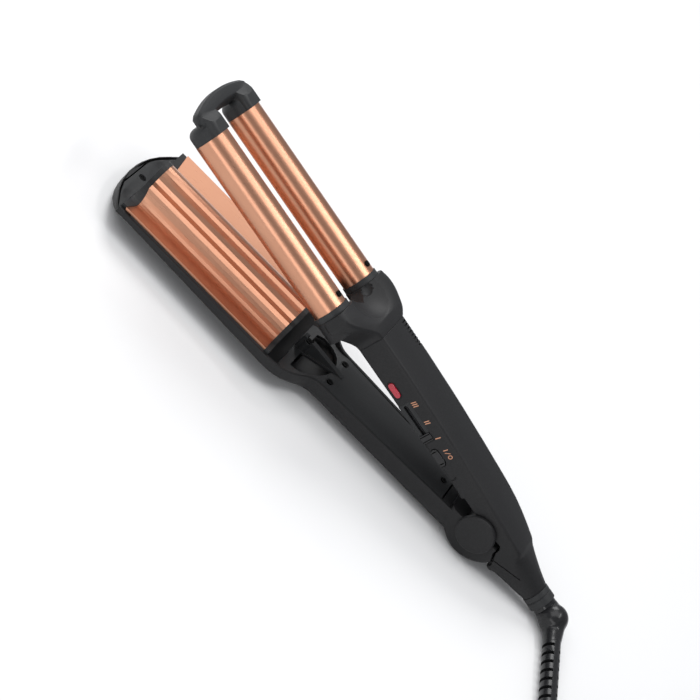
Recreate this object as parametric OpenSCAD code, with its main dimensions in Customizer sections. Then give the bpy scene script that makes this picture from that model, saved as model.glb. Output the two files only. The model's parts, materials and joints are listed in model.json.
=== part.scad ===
// Hair waver with two jaws: two round barrels on the upper arm close round the
// ridge of a wave plate on the lower arm.  Millimetres, +Z up, tip towards -X.

/* [Stance] */
// Height of the jaw pivot above the table
pivot_height = 20.5; // [20:0.1:22]
// Angle between the two arms with the jaw open
open_angle = 11.8; // [9:0.1:13]
// Slope of the lower arm as it lies on the table
lie_angle = 1.2; // [0.8:0.1:1.6]

/* [Barrels] */
// Diameter of each barrel
barrel_d = 20; // [18:0.1:20.2]
// Distance between the axes of the two barrels
barrel_pitch = 41.4; // [41:0.1:44]
// Wall of the barrel tube
barrel_wall = 0.9; // [0.6:0.1:1.5]
// Height of the barrel axes above the pivot
barrel_lift = 8; // [7:0.1:9]
// Distance from the pivot to the root end of the barrels
barrel_root = 150; // [148:0.5:152]
// Copper length of the barrels
barrel_len = 111.5; // [100:0.5:115]
// Length of the round cap on each barrel tip
end_cap_len = 9.5; // [8:0.5:11]

/* [Wave plate] */
// Thickness of the wave plate
plate_wall = 1.6; // [1.2:0.1:2]
// Slope of the plate's flat flanks, in degrees
lip_angle = 20.3; // [19:0.1:22]
// Distance from the pivot to the root end of the plate
plate_root = 154.5; // [153:0.5:156]
// Length of the wave plate
plate_len = 106.8; // [95:0.2:110]
// Radius of the middle ridge
ridge_r = 10; // [8:0.1:10.2]
// Height of the ridge centre above the pivot
ridge_lift = 5.6; // [5:0.1:6.5]
// Room for hair between a barrel and the plate
hair_gap = 0.8; // [0.6:0.05:1.2]

/* [Arms] */
// Half width of the tray round the plate
tray_half = 41; // [40.5:0.5:44]
// Wall of the moulded arms
wall = 2; // [1.6:0.1:2.4]
// Half width of the lower lever behind the plate
lever_half = 19.5; // [18.5:0.1:20.5]
// Half width of the upper handle
handle_half = 16; // [15.5:0.1:17]
// Height of the underside of the handle above the pivot
handle_low = 4.2; // [4:0.1:5]
// Height of the handle top above the pivot at the head
handle_top = 22; // [21:0.1:24]
// Distance from the pivot to the end of the tail
tail_len = 58; // [56:0.5:62]
// Radius of the round tail end
tail_r = 7.6; // [7.2:0.1:8]

/* [Hinge] */
// Diameter of the hinge pin
pin_d = 6; // [5:0.1:6.4]
// Radius of the round hinge caps
cap_r = 11.7; // [11:0.1:12.5]
// Thickness of the hinge caps
cap_t = 3; // [2:0.1:3.6]
// Radius of the rounded bulge under the pivot
bulge_r = 20.5; // [19.9:0.1:20.5]

/* [Controls] */
// Length of the red lamp lens
lamp_len = 9.5; // [8:0.1:11]
// Height of the red lamp lens
lamp_h = 3.6; // [3:0.1:4.2]
// Travel between two heat settings
heat_step = 9.8; // [9:0.1:10]
// Length of the sliding heat knob
knob_len = 5; // [4:0.1:5.4]
// Height of the sliding heat knob
knob_h = 7; // [6:0.1:7.2]
// Length of the power button
button_len = 11; // [9:0.1:12]
// Height of the power button
button_h = 4.6; // [4:0.1:5]
// Press travel of the power button
button_travel = 0.8; // [0.4:0.1:1]

/* [Mains lead] */
// Diameter of the mains lead
cord_d = 6; // [5.5:0.1:6]
// Distance between neighbouring turns of the put-away coil
coil_pitch = 6.5; // [6.5:0.1:7]
// Outer radius of the coil at the middle of the lead
coil_r = 48.5; // [48.5:0.5:52]
// Turns in each layer of the coil
coil_turns = 3.5; // [2.5:1:3.5]
// Diameter of the round strain relief at the lead
boot_d = 10.4; // [9.5:0.1:11]
// Distance between the two contact pins of the plug
plug_pitch = 18.6; // [18:0.1:19]
// Diameter of the plug's contact pins
plug_pin_d = 4; // [3.8:0.1:4.2]

/* [Hidden] */

fit = 0.3;              // gap between pieces that move past each other
run = 0.05;             // running fit round pins, on the radius
seat = 0.02;            // gap between pieces that rest on each other
black = [0.13, 0.13, 0.14];
soft_black = [0.18, 0.18, 0.19];
copper = [0.78, 0.48, 0.35];
steel = [0.6, 0.6, 0.62];

barrel_r = barrel_d / 2;
barrel_y = barrel_pitch / 2;
barrel_tip = barrel_root + barrel_len;
plate_tip = plate_root + plate_len;
plate_play = 0.1;                       // gap between the plate's lips and the tray wall
plate_half = tray_half - wall - plate_play;
cap_y = handle_half;                    // inner face of the hinge caps
lug_half = handle_half - 0.3;
tray_tip = plate_tip + 15.2;            // nose of the lower arm
rim_z = 1;                              // rim of the tray
nose_rim = -2;                          // lower rim round the tip cover
lever_rim = -1.3;                       // rim of the lever
tail_z = -0.5;                          // axis of the tail
swivel_flange = 7;                      // radius of the swivel's flange
upper_angle = open_angle - lie_angle;
nose_x = tray_tip * cos(lie_angle) + rim_z * sin(lie_angle);
tail_x = (tail_len + 2.4) * cos(upper_angle) + (swivel_flange + tail_z) * sin(upper_angle);
pivot_x = (nose_x - tail_x) / 2;

// Frames: the lower arm lies on the table, the upper arm is opened about the pivot.
module lower() { translate([pivot_x, 0, pivot_height]) rotate([0, -lie_angle, 0]) children(); }
module upper() { translate([pivot_x, 0, pivot_height]) rotate([0, upper_angle, 0]) children(); }
// Height of the table in the lower arm's frame
function table_z(x) = -(pivot_height + x * sin(lie_angle)) / cos(lie_angle);

// A closed skin through cross-sections [x, [[y, z], ...]], each counter-clockwise from +X
module loft(secs) {
    n = len(secs[0][1]);
    m = len(secs);
    pts = [for (s = secs) for (p = s[1]) [s[0], p[0], p[1]]];
    side = [for (i = [0:m - 2]) for (j = [0:n - 1]) let (k = (j + 1) % n)
        for (t = [[i * n + j, (i + 1) * n + j, (i + 1) * n + k],
                  [i * n + j, (i + 1) * n + k, i * n + k]]) t];
    low = [for (j = [1:n - 2]) [0, j, j + 1]];
    high = [for (j = [1:n - 2]) [(m - 1) * n, (m - 1) * n + j + 1, (m - 1) * n + j]];
    polyhedron(points = pts, faces = concat(side, low, high));
}

function arc(cy, cz, r, a0, a1, k) =
    [for (i = [0:k]) let (a = a0 + (a1 - a0) * i / k) [cy + r * cos(a), cz + r * sin(a)]];
// Rounded section from -near to far and z0 to z1, with corner radii rb below and
// rn (near) and rf (far) above, and a crowned top
function ring(near, far, z0, z1, rb, rn, rf, crown) = let (k = 4)
    [for (p = concat(arc(far - rb, z0 + rb, rb, -90, 0, k), arc(far - rf, z1 - rf, rf, 0, 90, k),
        arc(rn - near, z1 - rn, rn, 90, 180, k), arc(rb - near, z0 + rb, rb, 180, 270, k)))
        [p[0], p[1] + (p[1] > (z0 + z1) / 2 ? crown * (1 - pow(p[0] / (p[0] > 0 ? far : near), 2)) : 0)]];
function rounded(w, z0, z1, rb, rt, crown = 0) = ring(w, w, z0, z1, rb, rt, rt, crown);

// Sections between the given ones, on a smooth curve through them
function between(a, b, c, d, t) = let (h = c[0] - b[0], m = (c - a) / (c[0] - a[0]) * h,
    n = (d - b) / (d[0] - b[0]) * h)
    (2 * t * t * t - 3 * t * t + 1) * b + (t * t * t - 2 * t * t + t) * m
    + (3 * t * t - 2 * t * t * t) * c + (t * t * t - t * t) * n;
function smooth(s, k) = let (n = len(s)) concat(
    [for (i = [0:n - 2]) for (j = [0:k - 1])
        between(i > 0 ? s[i - 1] : 2 * s[0] - s[1], s[i], s[i + 1], i < n - 2 ? s[i + 2]
            : 2 * s[n - 1] - s[n - 2], j / k)],
    [s[n - 1]]);

// A round tube swept along points, every ring square to the path
function unit(v) = v / norm(v);
function heading(p, i) = unit(p[min(i + 1, len(p) - 1)] - p[max(i - 1, 0)]);
module tube(path, radii, sides) {
    n = len(path);
    pts = [for (i = [0:n - 1]) let (t = heading(path, i), s = unit(cross([0, 0, 1], t)), u = cross(t, s))
        for (j = [0:sides - 1]) let (a = 360 * (j + 0.5) / sides)
        path[i] + radii[i] * (cos(a) * s + sin(a) * u)];
    skin = [for (i = [0:n - 2]) for (j = [0:sides - 1]) let (k = (j + 1) % sides)
        for (f = [[i * sides + j, (i + 1) * sides + j, (i + 1) * sides + k],
                  [i * sides + j, (i + 1) * sides + k, i * sides + k]]) f];
    first = [for (j = [1:sides - 2]) [0, j, j + 1]];
    last = [for (j = [1:sides - 2]) [(n - 1) * sides, (n - 1) * sides + j + 1, (n - 1) * sides + j]];
    polyhedron(points = pts, faces = concat(skin, first, last));
}

module along_x(x0, x1, r, fn = 64) {
    translate([x0, 0, 0]) rotate([0, 90, 0]) cylinder(h = x1 - x0, r = r, $fn = fn);
}
module along_y(y0, y1, r, fn = 64) {
    translate([0, y1, 0]) rotate([90, 0, 0]) cylinder(h = y1 - y0, r = r, $fn = fn);
}
module block(x, y, z) { translate([x[0], y[0], z[0]]) cube([x[1] - x[0], y[1] - y[0], z[1] - z[0]]); }
// A profile [[y, z], ...] pulled along X
module pull_x(x0, x1, pts) {
    translate([x0, 0, 0]) rotate([90, 0, 90]) linear_extrude(x1 - x0) polygon(pts);
}
// A profile [[x, z], ...] pulled along Y
module pull_y(y0, y1, pts) {
    translate([0, y1, 0]) rotate([90, 0, 0]) linear_extrude(y1 - y0) polygon(pts);
}
// A slot with round ends in the near side wall, from y0 to y1, centred at [x, z]
module side_slot(x, z, length, height, y0, y1) {
    for (s = [-1, 1]) translate([x + s * (length - height) / 2, 0, z]) along_y(y0, y1, height / 2, 48);
    block([x - (length - height) / 2, x + (length - height) / 2], [y0, y1],
        [z - height / 2, z + height / 2]);
}

// ---------------------------------------------------------------- upper arm
head_x = -121;          // where the handle meets the yoke
// Handle sections: [x, near side, far side, low, top, corner radii below, near and far, crown]
far_half = handle_half + 1.8;           // the far side is rounder than the flat control side
handle_secs = smooth([
    [head_x, handle_half, far_half, handle_low, handle_top, 2.5, 1.4, 6, 1.6],
    [-95, handle_half, far_half, handle_low, handle_top - 0.2, 2.5, 1.4, 6, 1.7],
    [-60, handle_half, far_half - 0.2, handle_low, handle_top - 1.4, 2.5, 1.4, 6, 1.8],
    [-25, handle_half, far_half - 1, handle_low, handle_top - 3.4, 2.5, 1.5, 5.5, 1.6],
    [0, handle_half - 0.2, handle_half - 0.2, -2, handle_top - 5.4, 3, 2.2, 5, 1.2],
    [23, 12.8, 12.8, -12.2, 13.4, 6.5, 1.8, 6.5, 0.4],
    [27, 11.8, 11.8, -11.4, 12.2, 8, 7, 7.5, 0],
    [40, 9.3, 9.3, tail_z - 9.3, tail_z + 9.6, 8, 8, 8, 0],
    [tail_len - 8, tail_r, tail_r, tail_z - tail_r, tail_z + tail_r, tail_r - 0.1, tail_r - 0.1,
        tail_r - 0.1, 0]], 3);
hollow_end = 9;         // section where the hollow handle ends, ahead of the hinge
cover_t = 1.6;            // thickness of the inner cover under the handle
cover_end = -25;        // where that cover ends, ahead of the hinge

module lamp_place() { translate([-92.5, 0, 9]) children(); }
grip_count = 8;         // fine grip grooves over the shoulder
grip_pitch = 2.2;
grip_r = handle_top + 8.2;              // inner radius of the grooves
slot_z = 8.6;           // height of the heat slider
slot_x0 = -83.2;        // tip end of the slider track
slot_x1 = -58;          // root end of the slider track
knob_x = slot_x1 - knob_len / 2 - 0.2;  // knob at setting I
button_x = -47.8;
button_z = 7.6;

module handle_shell() color(black) upper() difference() {
    union() {
        difference() {
            loft([for (s = handle_secs) [s[0], ring(s[1], s[2], s[3], s[4], s[5], s[6], s[7], s[8])]]);
            // hollow, open underneath for the inner cover
            loft([for (i = [0:hollow_end]) let (s = handle_secs[i])
                [i == 0 ? head_x + 3 : s[0], ring(s[1] - wall, s[2] - wall, s[3] - 6, s[4] - wall, 0.6,
                    1, 4, s[8])]]);
            // clearance round the lower arm's bulge
            pull_y(-lug_half - 4, lug_half + 4, concat([[-26, -20]],
                [for (a = [180:-10:90]) [22 * cos(a), min(6.6, 22 * sin(a))]],
                [[13.4, 6.6], [15.2, 4.6], [15.9, 1.4], [21.3, -6], [21.3, -20]]));
        }
        // hinge lugs
        for (s = [-1, 1]) along_y(s > 0 ? knuckle_half + fit : -lug_half,
            s > 0 ? lug_half : -knuckle_half - fit, lug_r);
    }
    along_y(-30, 30, pin_d / 2);
    // flat seats of the hinge caps
    for (s = [-1, 1]) {
        along_y(s > 0 ? cap_y - seat : -30, s > 0 ? 30 : -cap_y + seat, cap_r + 0.3);
        along_y(s > 0 ? lug_half : -30, s > 0 ? 30 : -lug_half, lug_r - 0.8);
    }
    // room for the knuckle between the lugs
    along_y(-knuckle_half - fit, knuckle_half + fit, 10.4);
    // socket of the swivel in the tail, with its wire way
    along_x(30, tail_len + 1, 3);
    translate([0, 0, tail_z]) along_x(42, tail_len + 1, swivel_r + run);
    // holes in the near side wall for the lamp, the slider and the button
    lamp_place() side_slot(0, 0, lamp_len + 0.1, lamp_h + 0.1, -30, -handle_half + wall + 1);
    block([slot_x0, slot_x1], [-handle_half - 1, -handle_half + 0.9], [slot_z - knob_h / 2 - 0.3,
        slot_z + knob_h / 2 + 0.3]);
    side_slot((slot_x0 + slot_x1) / 2, slot_z, slot_x1 - slot_x0 - 2, 2.6, -30, -handle_half + wall + 1);
    side_slot(button_x, button_z, button_len + 2 * fit, button_h + 2 * fit, -30, -handle_half + wall + 1);
    // shallow grooves round the lamp and along the tail's seam
    lamp_place() side_slot(0, 0, lamp_len + 1.6, lamp_h + 1.6, -30, -handle_half + 0.35);
    translate([18, 0, -3.3]) rotate([0, -14.5, 0]) translate([-18, 0, 0]) linear_extrude(0.5)
        polygon([[16, -20], [16, -12.8], [23, -11.9], [27, -10.9], [38, -9], [38, -20]]);
    // curved grip grooves over the far shoulder behind the yoke
    for (i = [0:grip_count - 1]) translate([head_x + 2.4 + i * grip_pitch, 2, -7]) rotate([90, 0, 90])
        rotate_extrude(angle = 27, start = 63, $fn = 96) translate([grip_r, -0.4]) square([3, 0.8]);
    // crescent groove behind the button
    translate([button_x + 11, -handle_half, button_z]) rotate([90, 0, 0]) translate([0, 0, -0.6])
        rotate_extrude(angle = 150, start = -115, $fn = 64) translate([3.6, 0]) square([0.7, 2]);
}

module handle_inner_cover() color(soft_black) upper() {
    inner = [for (i = [0:hollow_end]) let (s = handle_secs[i])
        [i == 0 ? head_x + 3 + seat : i == hollow_end ? cover_end - seat : s[0], s[1] - wall - seat,
            s[2] - wall - seat]];
    difference() {
        translate([0, 0, handle_low]) linear_extrude(cover_t)
            polygon(concat([for (s = inner) [s[0], -s[1]]],
            [for (i = [hollow_end:-1:0]) [inner[i][0], inner[i][2]]]));
        for (x = [-112, -70, -32]) translate([x, 0, handle_low - 1]) cylinder(h = 1.6, d = 5, $fn = 32);
    }
    // pillars under the circuit board
    for (x = [-104, -87, -36]) for (s = [-1, 1])
        translate([x, s * 8, handle_low + cover_t]) cylinder(h = board_z - handle_low - cover_t - seat,
            d = 4, $fn = 32);
}

// Yoke: the head that carries the barrels, drawn in to the handle
yoke_half = barrel_y + barrel_r + 1.6;  // half width behind the collars
yoke_secs = smooth([
    [-barrel_root + 3.4, yoke_half, yoke_half, 4.6, barrel_lift + 11.2, 4, 5, 6.5, 0],
    [-141, yoke_half + 0.6, yoke_half + 0.7, 4.6, barrel_lift + 12.2, 4, 3.4, 7, 0.4],
    [-135, yoke_half - 3, yoke_half - 0.8, 4.5, barrel_lift + 13, 4, 2.8, 7, 0.8],
    [-129, yoke_half - 10, yoke_half - 4.8, 4.3, barrel_lift + 13.8, 3.6, 2.4, 7, 1.1],
    [-124.5, handle_half + 1.6, handle_half + 7.2, handle_low, handle_top + 0.3, 3, 1.9, 6.5, 1.4],
    [head_x - seat, handle_half, far_half + 0.4, handle_low, handle_top, 2.5, 1.4, 6, 1.6]], 3);
module barrel_yoke() color(black) upper() difference() {
    union() {
        loft([for (s = yoke_secs) [s[0], ring(s[1], s[2], s[3], s[4], s[5], s[6], s[7], s[8])]]);
        // round sockets of the barrels
        for (s = [-1, 1]) translate([0, s * barrel_y, barrel_lift])
            along_x(-barrel_root + 3.4, -134, barrel_r + 0.9);
    }
    // the gap between the barrels runs into a pointed notch
    translate([-barrel_root, 0, 0]) linear_extrude(60, center = true)
        polygon([[-1, -9.6], [4.5, -8.2], [9.5, 0], [4.5, 8.2], [-1, 9.6]]);
    // scooped top between the two shoulders, and a dark recess by the far collar
    translate([-148, 0, barrel_lift + 34]) sphere(r = 28, $fn = 96);
    translate([-145.4, barrel_y - 13, barrel_lift + 10]) sphere(r = 5, $fn = 48);
    // seats of the collar stubs
    for (s = [-1, 1]) translate([0, s * barrel_y, barrel_lift])
        along_x(-barrel_root, -138, barrel_r - barrel_wall - 1.5);
    // wire ways and the space inside
    for (s = [-1, 1]) translate([0, s * barrel_y, barrel_lift]) rotate([0, 0, -s * 38])
        along_x(-138, -118, 4);
    block([-131, head_x + 1], [-12, 12], [8, 18]);
}

module barrel_collars() color(soft_black) upper()
    for (s = [-1, 1]) translate([0, s * barrel_y, barrel_lift]) difference() {
        union() {
            along_x(-barrel_root, -barrel_root + 3.4 - seat, barrel_r + 0.6);
            along_x(-barrel_root - 8, -138.5, barrel_r - barrel_wall - 1.5 - run);
            along_x(-barrel_root - 8, -barrel_root, barrel_r - barrel_wall - run);
        }
        along_x(-barrel_root - 9, -138, 5);
        translate([-barrel_root - 5, 0, 0]) cylinder(h = 20, d = 2, $fn = 32);
    }

module barrel(s) color(copper) upper() translate([0, s * barrel_y, barrel_lift]) difference() {
    along_x(-barrel_tip, -barrel_root - seat, barrel_r, 96);
    along_x(-barrel_tip - 1, -barrel_root + 1, barrel_r - barrel_wall, 96);
    translate([-barrel_root - 5, 0, 0]) cylinder(h = 20, d = 2.6, $fn = 32);
}
module barrel_near() { barrel(-1); }
module barrel_far() { barrel(1); }

module barrel_heaters() color("white") upper()
    for (s = [-1, 1]) translate([0, s * barrel_y, barrel_lift]) difference() {
        intersection() {
            along_x(-barrel_tip + 12, -barrel_root - 12, barrel_r - barrel_wall - fit);
            union() {
                block([-barrel_tip, 0], [-20, 20], [2.2, 20]);
                block([-barrel_tip, 0], [-20, 20], [-20, -2.2]);
                block([-barrel_tip, 0], [-6, 6], [-3, 3]);
            }
        }
        translate([0, 0, 5]) along_x(-barrel_tip, 0, 1.2, 24);
    }

module barrel_screws() color([0.1, 0.1, 0.1]) upper()
    for (s = [-1, 1]) translate([-barrel_root - 5, s * barrel_y, barrel_lift]) difference() {
        union() {
            translate([0, 0, 5.4]) cylinder(h = barrel_r - 5.4, d = 2 - 2 * run, $fn = 32);
            translate([0, 0, barrel_r + 0.02]) cylinder(h = 0.7, d = 3.6, $fn = 32);
            translate([0, 0, barrel_r - 0.2]) cylinder(h = 0.3, d = 1.9, $fn = 32);
        }
        block([-0.25, 0.25], [-2, 2], [barrel_r + 0.4, barrel_r + 2]);
    }

module barrel_end_caps() color(soft_black) upper()
    for (s = [-1, 1]) translate([-barrel_tip, s * barrel_y, barrel_lift]) rotate([0, -90, 0])
        rotate_extrude($fn = 64) polygon(concat([[0, seat], [barrel_r - 0.1, seat]],
            arc(barrel_r - 4.6, end_cap_len - 4.5, 4.5, 0, 90, 8), [[0, end_cap_len]]));

// Arched cool tip that ties the two barrels together
bridge_bow = 5;         // how far the arch stands out at its middle
bridge_half = barrel_y + 8.8;
bridge_w = 6.5;         // width of the arch's top
bridge_top = 15.6;      // height of the arch, lower than the tops of the end caps
function bow(y) = -barrel_tip - 14.5 - bridge_bow * (1 - pow(y / bridge_half, 2));
// Cross-section of the arch at y, drawn in at its round ends
function bridge_sec(y) = let (e = max(0, abs(y) - bridge_half + 3) / 3,
    c = 3.4 * (1 - sqrt(max(0, 1 - e * e))), b = -bow(y))
    [y, [[b - 10.2 + c, 8.4 + c], [b - 1.4 - c, 8.4 + c], [b - c, 9.8 + c], [b - c, bridge_top - 1.6 - c],
        [b - 1.4 - c, bridge_top - c], [b - bridge_w + c, bridge_top + 0.2 - c],
            [b - bridge_w - 0.9 + c, bridge_top - 0.3 - c],
        [b - 9.8 + c, 10 + c]]];
module tip_bridge() color(black) upper() difference() {
    union() {
        rotate([0, 0, 90]) loft([for (y = concat([-1, -0.97, -0.93, -0.88], [for (i = [-6:6]) i / 7.4],
            [0.88, 0.93, 0.97, 1]))
            bridge_sec(y * bridge_half)]);
        // legs that rise from the arch and lie over the end caps
        for (s = [-1, 1]) translate([0, s * barrel_y, 0]) intersection() {
            pull_x(-barrel_tip - 16, -barrel_tip - seat,
                rounded(7.4, barrel_lift + 1, barrel_lift + barrel_r + 0.5, 1, 3.6, 0.2));
            pull_y(-12, 12, [[-barrel_tip - 12.5, 8.4], [-barrel_tip, 8.4], [-barrel_tip, 30],
                [-barrel_tip - 7, 30],
                [-barrel_tip - 7, barrel_lift + barrel_r + 0.6], [-barrel_tip - 13, bridge_top - 0.6]]);
        }
    }
    // the legs sit round the end caps
    for (s = [-1, 1]) translate([-barrel_tip, s * barrel_y, barrel_lift]) rotate([0, -90, 0])
        rotate_extrude($fn = 64) polygon(concat([[0, -1], [barrel_r - 0.1 + seat, -1]],
            arc(barrel_r - 4.6, end_cap_len - 4.5, 4.5 + seat, 0, 90, 8), [[0, end_cap_len + seat]]));
}

board_z = 13.4;         // underside of the circuit board
module circuit_board() color([0.1, 0.35, 0.2]) upper() {
    difference() {
        block([-108, -34], [-10.5, 10.5], [board_z, board_z + 1.6]);
        for (x = [-104, -87, -36]) for (s = [-1, 1]) translate([x, s * 8, board_z - 1])
            cylinder(h = 4, d = 1.6, $fn = 24);
    }
    block([-100, -90], [-2, 7], [board_z + 1.6, board_z + 5]);
    block([-56, -50], [2, 8], [board_z + 1.6, board_z + 4.5]);
}

module lamp_lens() color([0.85, 0.06, 0.15]) upper() lamp_place() {
    side_slot(0, 0, lamp_len, lamp_h, -handle_half - 0.35, -handle_half + wall + 0.4);
    side_slot(0, 0, lamp_len + 2, lamp_h + 1.6, -handle_half + wall + seat, -handle_half + wall + 1.2);
}

// Inlay that lines the slider's track
module slider_bed() color(soft_black) upper() difference() {
    block([slot_x0 + seat, slot_x1 - seat], [-handle_half + 0.4, -handle_half + 0.9 - seat],
        [slot_z - knob_h / 2 - 0.3 + seat, slot_z + knob_h / 2 + 0.3 - seat]);
    side_slot((slot_x0 + slot_x1) / 2, slot_z, slot_x1 - slot_x0 - 2, 2.6, -30, 0);
}

module heat_slider() color(soft_black) upper() translate([knob_x, 0, slot_z]) {
    difference() {
        block([-knob_len / 2, knob_len / 2], [-handle_half - 0.5, -handle_half + 0.35],
            [-knob_h / 2, knob_h / 2]);
        for (i = [-1, 1]) block([i * 1.5 - 0.2, i * 1.5 + 0.2], [-handle_half - 1, -handle_half - 0.3],
            [-knob_h / 2 - 1, knob_h / 2 + 1]);
    }
    block([-1, 1], [-handle_half + 0.3, -handle_half + wall + 1.4], [-1, 1]);
    block([-2.2, 2.2], [-handle_half + wall + fit, -handle_half + wall + 1.5], [-2.4, 2.4]);
}

module heat_switch() color([0.25, 0.25, 0.27]) upper() difference() {
    block([slot_x0 + 2, slot_x1 + 2], [-handle_half + wall + 1.9, -handle_half + wall + 5.4],
        [slot_z - 2.6, board_z - seat]);
    block([slot_x0, slot_x1 + 4], [-handle_half + wall, -handle_half + wall + 3],
        [slot_z - 1.3, slot_z + 1.3]);
}

module power_button() color([0.05, 0.05, 0.06]) upper() {
    difference() {
        union() {
            side_slot(button_x, button_z, button_len, button_h, -handle_half - 0.4, -handle_half + 1.1);
            side_slot(button_x, button_z, button_len - 1.4, button_h - 1.4, -handle_half + 1,
                -handle_half + wall + 0.4);
        }
        // dished face
        translate([button_x, -handle_half - 30.1, button_z]) sphere(r = 30, $fn = 64);
    }
    side_slot(button_x, button_z, button_len + 2.4, button_h - 1.2, -handle_half + wall + fit,
        -handle_half + wall + 1.2);
    translate([button_x, 0, button_z]) along_y(-handle_half + wall + 1, -handle_half + wall + 2.4, 1.5, 32);
}

module power_switch() color([0.25, 0.25, 0.27]) upper()
    block([button_x - 3.5, button_x + 3.5], [-handle_half + wall + 2.4 + button_travel + 0.2,
        -handle_half + wall + 8],
        [button_z - 1.6, board_z - seat]);

// -------------------------------------------------------------------- hinge
lug_r = 9.6;
knuckle_half = 9;       // half width of the lower arm's knuckle
window = 4.3;           // half width of the spring's window in the knuckle
spring_wire = 1.4;
spring_r = 5.2;
spring_turns = 3.5;

module hinge_pin() color(steel) upper() along_y(-cap_y - 1.6, cap_y + 1.6, pin_d / 2 - run);

module hinge_cap(s) color(black) upper() mirror([0, s > 0 ? 1 : 0, 0]) translate([0, -cap_y, 0])
    rotate([90, 0, 0]) {
    rotate_extrude($fn = 96) polygon(concat([[pin_d / 2, 0], [cap_r - 0.4, 0], [cap_r, 0.4]],
        arc(cap_r - 1.2, cap_t - 1.2, 1.2, 0, 80, 6), [[0, cap_t + 0.25], [0, 1.7], [pin_d / 2, 1.7]]));
    translate([0, 0, -cap_y + lug_half + seat]) rotate_extrude($fn = 64)
        translate([pin_d / 2, 0]) square([lug_r - 1 - pin_d / 2, cap_y - lug_half]);
}
module hinge_cap_near() { hinge_cap(-1); }
module hinge_cap_far() { hinge_cap(1); }

// Torsion spring round the pin; its legs press the arms apart
module hinge_spring() color(steel) upper() {
    total = 360 * spring_turns - open_angle;
    rings = 42;
    half = spring_turns * (spring_wire + 0.45) / 2;
    coil = [for (i = [0:rings]) let (a = 90 - i * total / rings)
        [spring_r * cos(a), -half + 2 * half * i / rings, spring_r * sin(a)]];
    // one leg lies under the handle, the other in a slot of the lower arm
    legs = [[-13, -half, spring_r + 0.5], [-7, -half, spring_r + 0.1]];
    low = [for (q = [[-7, -spring_r], [-13, -spring_r]])
        [q[0] * cos(open_angle) - q[1] * sin(open_angle), half, q[0] * sin(open_angle)
            + q[1] * cos(open_angle)]];
    way = concat(legs, coil, low);
    tube(way, [for (p = way) spring_wire / 2], 6);
}

module tail_collar() color(soft_black) upper() translate([0, 0, tail_z]) difference() {
    along_x(tail_len - 8 + seat, tail_len, tail_r + 0.35);
    along_x(tail_len - 9, tail_len + 1, swivel_r + run);
    // the groove between the collar's two bands
    difference() {
        along_x(tail_len - 5, tail_len - 4.4, tail_r + 2);
        along_x(tail_len - 6, tail_len - 3, tail_r - 0.1);
    }
}

swivel_r = 5;
module cord_swivel() color([0.1, 0.1, 0.1]) upper() translate([0, 0, tail_z]) difference() {
    union() {
        along_x(43, tail_len + 0.6, swivel_r);
        along_x(tail_len + 0.3, tail_len + 2.4, swivel_flange);
    }
    along_x(30, tail_len + 3, 2.2);
}

// Elbow that bends from the tail towards the table, then a ribbed strain relief
elbow = [[59.3, 0, 8.9], [62.3, -0.2, 8.4], [65.6, -1.4, 7.9], [68.6, -3.8, 7.6], [70.9, -7.2, 7.3],
    [72.6, -11.4, 7], [74.1, -16, 6.8]];
elbow_r = [7.2, 7.4, 7.5, 7.1, 6.4, 5.8, 5.4];
knee = [67, -3.4, 9.4];
knee_r = 8.7;
boot_start = elbow[6];
boot_end = [92.3, -62, 5.4];
boot_dir = unit(boot_end - boot_start);
boot_len = norm(boot_end - boot_start);
rib_count = 7;
rib_pitch = 6.2;
module elbow_boot() color([0.1, 0.1, 0.1]) translate([pivot_x, 0, 0]) {
    tube(elbow, elbow_r, 20);
    // the round knee of the elbow
    translate(knee) sphere(r = knee_r, $fn = 48);
    translate(boot_start) rotate([0, acos(boot_dir[2]), atan2(boot_dir[1], boot_dir[0])]) difference() {
        cylinder(h = boot_len, d = boot_d, $fn = 48);
        for (i = [0:rib_count - 1]) for (s = [-1, 1])
            translate([0, s * 4.9, 6 + (i + (s > 0 ? 0.5 : 0)) * rib_pitch])
                cube([12, 6.4, 2.2], center = true);
    }
}

// ---------------------------------------------------------------- lower arm
// Sections of the tray and lever: [x, half width, side foot, bottom half width, bottom, rim]
function bottom_at(x) = table_z(x) - 0.4;
nose_len = 13.2;        // the nose is an arc this deep across the tray's width
nose_r = (tray_half * tray_half + nose_len * nose_len) / (2 * nose_len);
function nose_half(d) = sqrt(nose_r * nose_r - pow(nose_r - d, 2));
frame_t = 3;            // thickness of the plate's end frames
nose_end = tray_tip - plate_tip - frame_t - 0.12;       // where the rim steps up to the plate's frame
lower_secs = concat(
    [for (q = [[0.15, -7, -9], [0.8, -7.6, -11.5], [2.3, -8, -13.4], [4.9, -7.6, bottom_at(-271)],
        [8.8, -5.6, bottom_at(-268)], [nose_end, -3.4, bottom_at(-264)]])
        [q[0] - tray_tip, nose_half(q[0]), q[1], min(13, nose_half(q[0]) / 2 + 2), q[2], nose_rim]],
    [[nose_end - tray_tip + 0.3, nose_half(nose_end + 0.3), -3.3, 13, bottom_at(-264), rim_z],
    [-plate_tip + 4, tray_half, -2, 13, bottom_at(-257), rim_z]],
    smooth([[-154, tray_half, -5, 16, bottom_at(-154), rim_z],
    [-145, tray_half - 1.6, -6, 16, -17.8, 0.4],
    [-137, tray_half - 5.4, -6.6, 14, -17.8, -0.2],
    [-131, tray_half - 11.6, -7.4, 11, -17.6, -0.7],
    [-126, lever_half + 3.6, -8.2, 9, -17.5, -1.1],
    [-121, lever_half + 0.8, -8.5, 7.5, -17.5, lever_rim],
    [-110, lever_half, -8.6, 7, -17.5, lever_rim],
    [-60, lever_half - 2.6, -9.4, 7, -18, lever_rim],
    [-24, lever_half - 4.1, -9.6, 7, -18.4, lever_rim],
    [-12, lever_half - 4.3, -9.6, 7, -18.4, lever_rim]], 2));
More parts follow.
